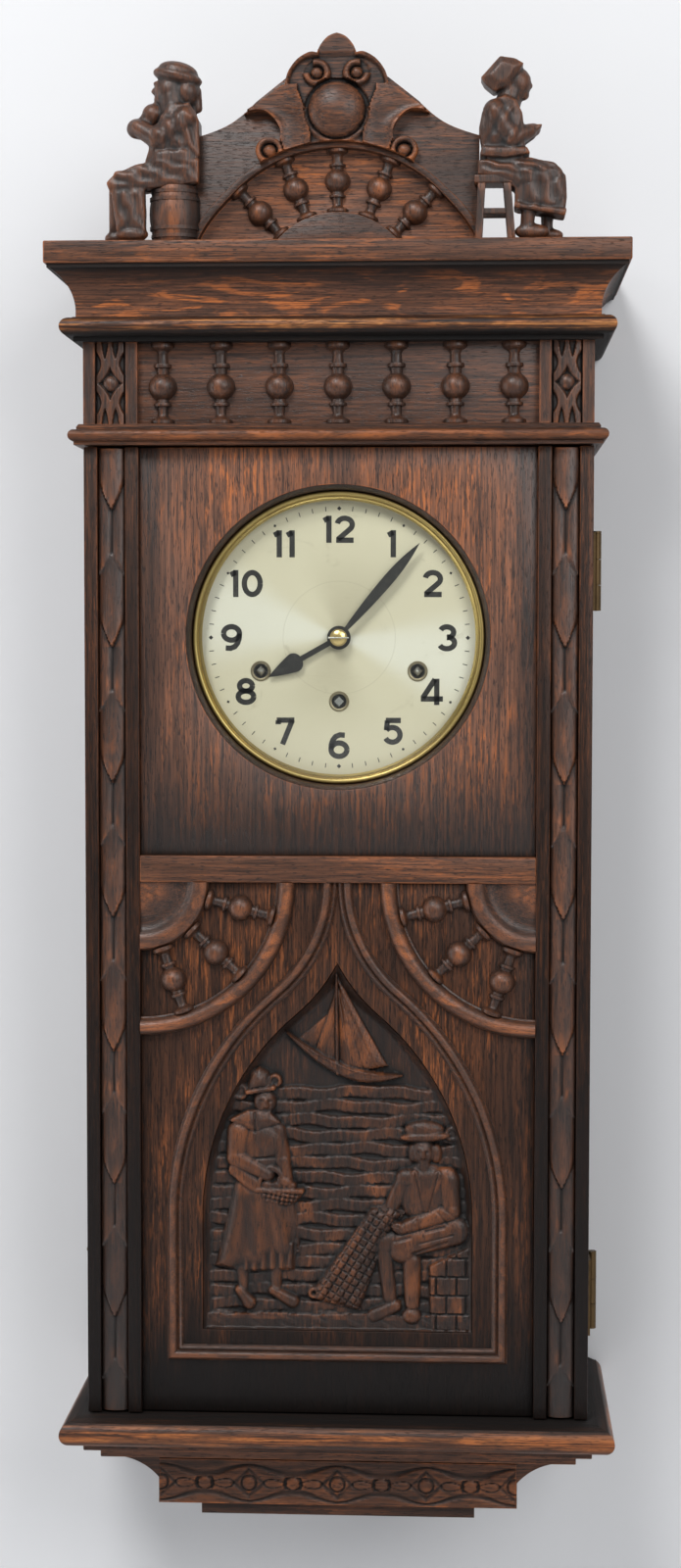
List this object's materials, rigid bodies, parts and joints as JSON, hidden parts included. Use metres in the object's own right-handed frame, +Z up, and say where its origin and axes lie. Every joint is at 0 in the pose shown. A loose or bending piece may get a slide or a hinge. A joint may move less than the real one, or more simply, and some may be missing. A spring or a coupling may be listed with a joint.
{
  "type": "box chime wall clock",
  "caption": "Carved dark oak box wall clock with pediment figures, hinged glazed door over a round dial, spindle frieze, arched carved panel, pendulum and chime rods.",
  "frame": {"origin": "centre of the hanger hole, on the wall plane at the back of the case", "axes": "+Z up, +Y into the wall, +X to the viewer's right when facing the dial"},
  "size_m": [0.372, 0.1743, 0.9647],
  "materials": {
    "oak": "dark stained oak, waxed, worn lighter on its proud edges",
    "brass": "lacquered brass",
    "steel": "drawn steel",
    "iron": "black cast iron",
    "silvered": "silvered, brushed sideways",
    "glass": "clear convex glass",
    "black_hands": "blued black"
  },
  "bodies": {
    "case": {"back_board": "oak", "case_sides": "oak", "frieze_board": "oak", "frieze_blocks": "oak", "frieze_moulding": "oak", "cornice_bead": "oak", "cornice_cove": "oak", "cornice_shelf": "oak", "base_roll": "oak", "base_steps": "oak", "apron": "oak", "pediment_board": "oak", "fan_spindles": "oak", "crest_carving": "oak", "barrel_sitter": "oak", "stool_sitter": "oak", "frieze_spindles": "oak", "seat_board": "oak", "hanger_plate": "steel", "hinge_case_leaves": "brass", "catch_clip": "brass", "dial": "silvered", "winding_grommets": "brass", "movement_frame": "brass", "gong_block": "iron", "gong_rods": "steel", "hammer_bracket": "steel"},
    "door": {"door_stiles": "oak", "leaf_strips": "oak", "upper_panel": "oak", "middle_rail": "oak", "arch_bead": "oak", "lower_panel": "oak", "relief_carving": "oak", "corner_mouldings": "oak", "corner_spindles": "oak", "bezel": "brass", "dial_glass": "glass", "hinge_door_leaves": "brass", "door_pull": "brass"},
    "minute": {"minute_hand": "black_hands", "cannon_pinion": "brass"},
    "centre": {"centre_arbor": "steel"},
    "hour": {"hour_hand": "black_hands", "hour_wheel": "brass"},
    "motion": {"minute_wheel": "brass"},
    "going_barrel": {"time_barrel": "brass"},
    "time_arbor": {"time_winder": "steel"},
    "strike": {"strike_barrel": "brass"},
    "chime": {"chime_barrel": "brass"},
    "third": {"third_wheel": "brass"},
    "escape": {"escape_wheel": "brass"},
    "anchor": {"pallets": "steel"},
    "pendulum": {"suspension_spring": "steel", "pendulum_rod": "brass", "pendulum_bob": "brass"},
    "hammer_arm_1": {"hammer_1": "brass"},
    "hammer_arm_2": {"hammer_2": "brass"},
    "hammer_arm_3": {"hammer_3": "brass"},
    "hammer_arm_4": {"hammer_4": "brass"}
  },
  "joints": [
    {"name": "door_hinge", "type": "hinge", "parent": "case", "child": "door", "pos_m": [0.1672, -0.12825, -0.3935], "axis": [0, 0, 1], "range_deg": [0, 110]},
    {"name": "minute_turn", "type": "hinge", "parent": "case", "child": "minute", "pos_m": [0, 0, -0.2], "axis": [0, 1, 0], "continuous": true},
    {"name": "hour_turn", "type": "hinge", "parent": "case", "child": "hour", "pos_m": [0, 0, -0.2], "axis": [0, 1, 0], "continuous": true},
    {"name": "motion_turn", "type": "hinge", "parent": "case", "child": "motion", "pos_m": [0.0168, 0, -0.2], "axis": [0, 1, 0], "continuous": true},
    {"name": "escape_turn", "type": "hinge", "parent": "case", "child": "escape", "pos_m": [0, 0, -0.162], "axis": [0, 1, 0], "continuous": true},
    {"name": "third_turn", "type": "hinge", "parent": "case", "child": "third", "pos_m": [0.00754, 0, -0.17933], "axis": [0, 1, 0], "continuous": true},
    {"name": "centre_turn", "type": "hinge", "parent": "case", "child": "centre", "pos_m": [0, 0, -0.2], "axis": [0, 1, 0], "continuous": true},
    {"name": "going_barrel_turn", "type": "hinge", "parent": "case", "child": "going_barrel", "pos_m": [0, 0, -0.2416], "axis": [0, 1, 0], "continuous": true},
    {"name": "time_wind", "type": "hinge", "parent": "case", "child": "time_arbor", "pos_m": [0, 0, -0.2416], "axis": [0, 1, 0], "continuous": true},
    {"name": "strike_wind", "type": "hinge", "parent": "case", "child": "strike", "pos_m": [-0.0513, 0, -0.2218], "axis": [0, 1, 0], "continuous": true},
    {"name": "chime_wind", "type": "hinge", "parent": "case", "child": "chime", "pos_m": [0.0513, 0, -0.2218], "axis": [0, 1, 0], "continuous": true},
    {"name": "pendulum_swing", "type": "hinge", "parent": "case", "child": "pendulum", "pos_m": [0, -0.057, -0.143], "axis": [0, 1, 0], "range_deg": [-4, 4]},
    {"name": "anchor_rock", "type": "hinge", "parent": "case", "child": "anchor", "pos_m": [0, -0.057, -0.143], "axis": [0, 1, 0], "range_deg": [-4, 4]},
    {"name": "hammer_1_lift", "type": "hinge", "parent": "case", "child": "hammer_arm_1", "pos_m": [0, -0.0292, -0.302], "axis": [1, 0, 0], "range_deg": [-14, 1]},
    {"name": "hammer_2_lift", "type": "hinge", "parent": "case", "child": "hammer_arm_2", "pos_m": [0, -0.0292, -0.302], "axis": [1, 0, 0], "range_deg": [-14, 1]},
    {"name": "hammer_3_lift", "type": "hinge", "parent": "case", "child": "hammer_arm_3", "pos_m": [0, -0.0292, -0.302], "axis": [1, 0, 0], "range_deg": [-14, 1]},
    {"name": "hammer_4_lift", "type": "hinge", "parent": "case", "child": "hammer_arm_4", "pos_m": [0, -0.0292, -0.302], "axis": [1, 0, 0], "range_deg": [-14, 1]}
  ],
  "couplings": [
    {"joint": "hour_turn", "follows": "minute_turn", "ratio": 0.083333},
    {"joint": "motion_turn", "follows": "minute_turn", "ratio": -0.33333},
    {"joint": "third_turn", "follows": "escape_turn", "ratio": -0.10526},
    {"joint": "centre_turn", "follows": "escape_turn", "ratio": 0.010526},
    {"joint": "going_barrel_turn", "follows": "escape_turn", "ratio": -0.00087719},
    {"joint": "anchor_rock", "follows": "pendulum_swing", "ratio": 1}
  ]
}
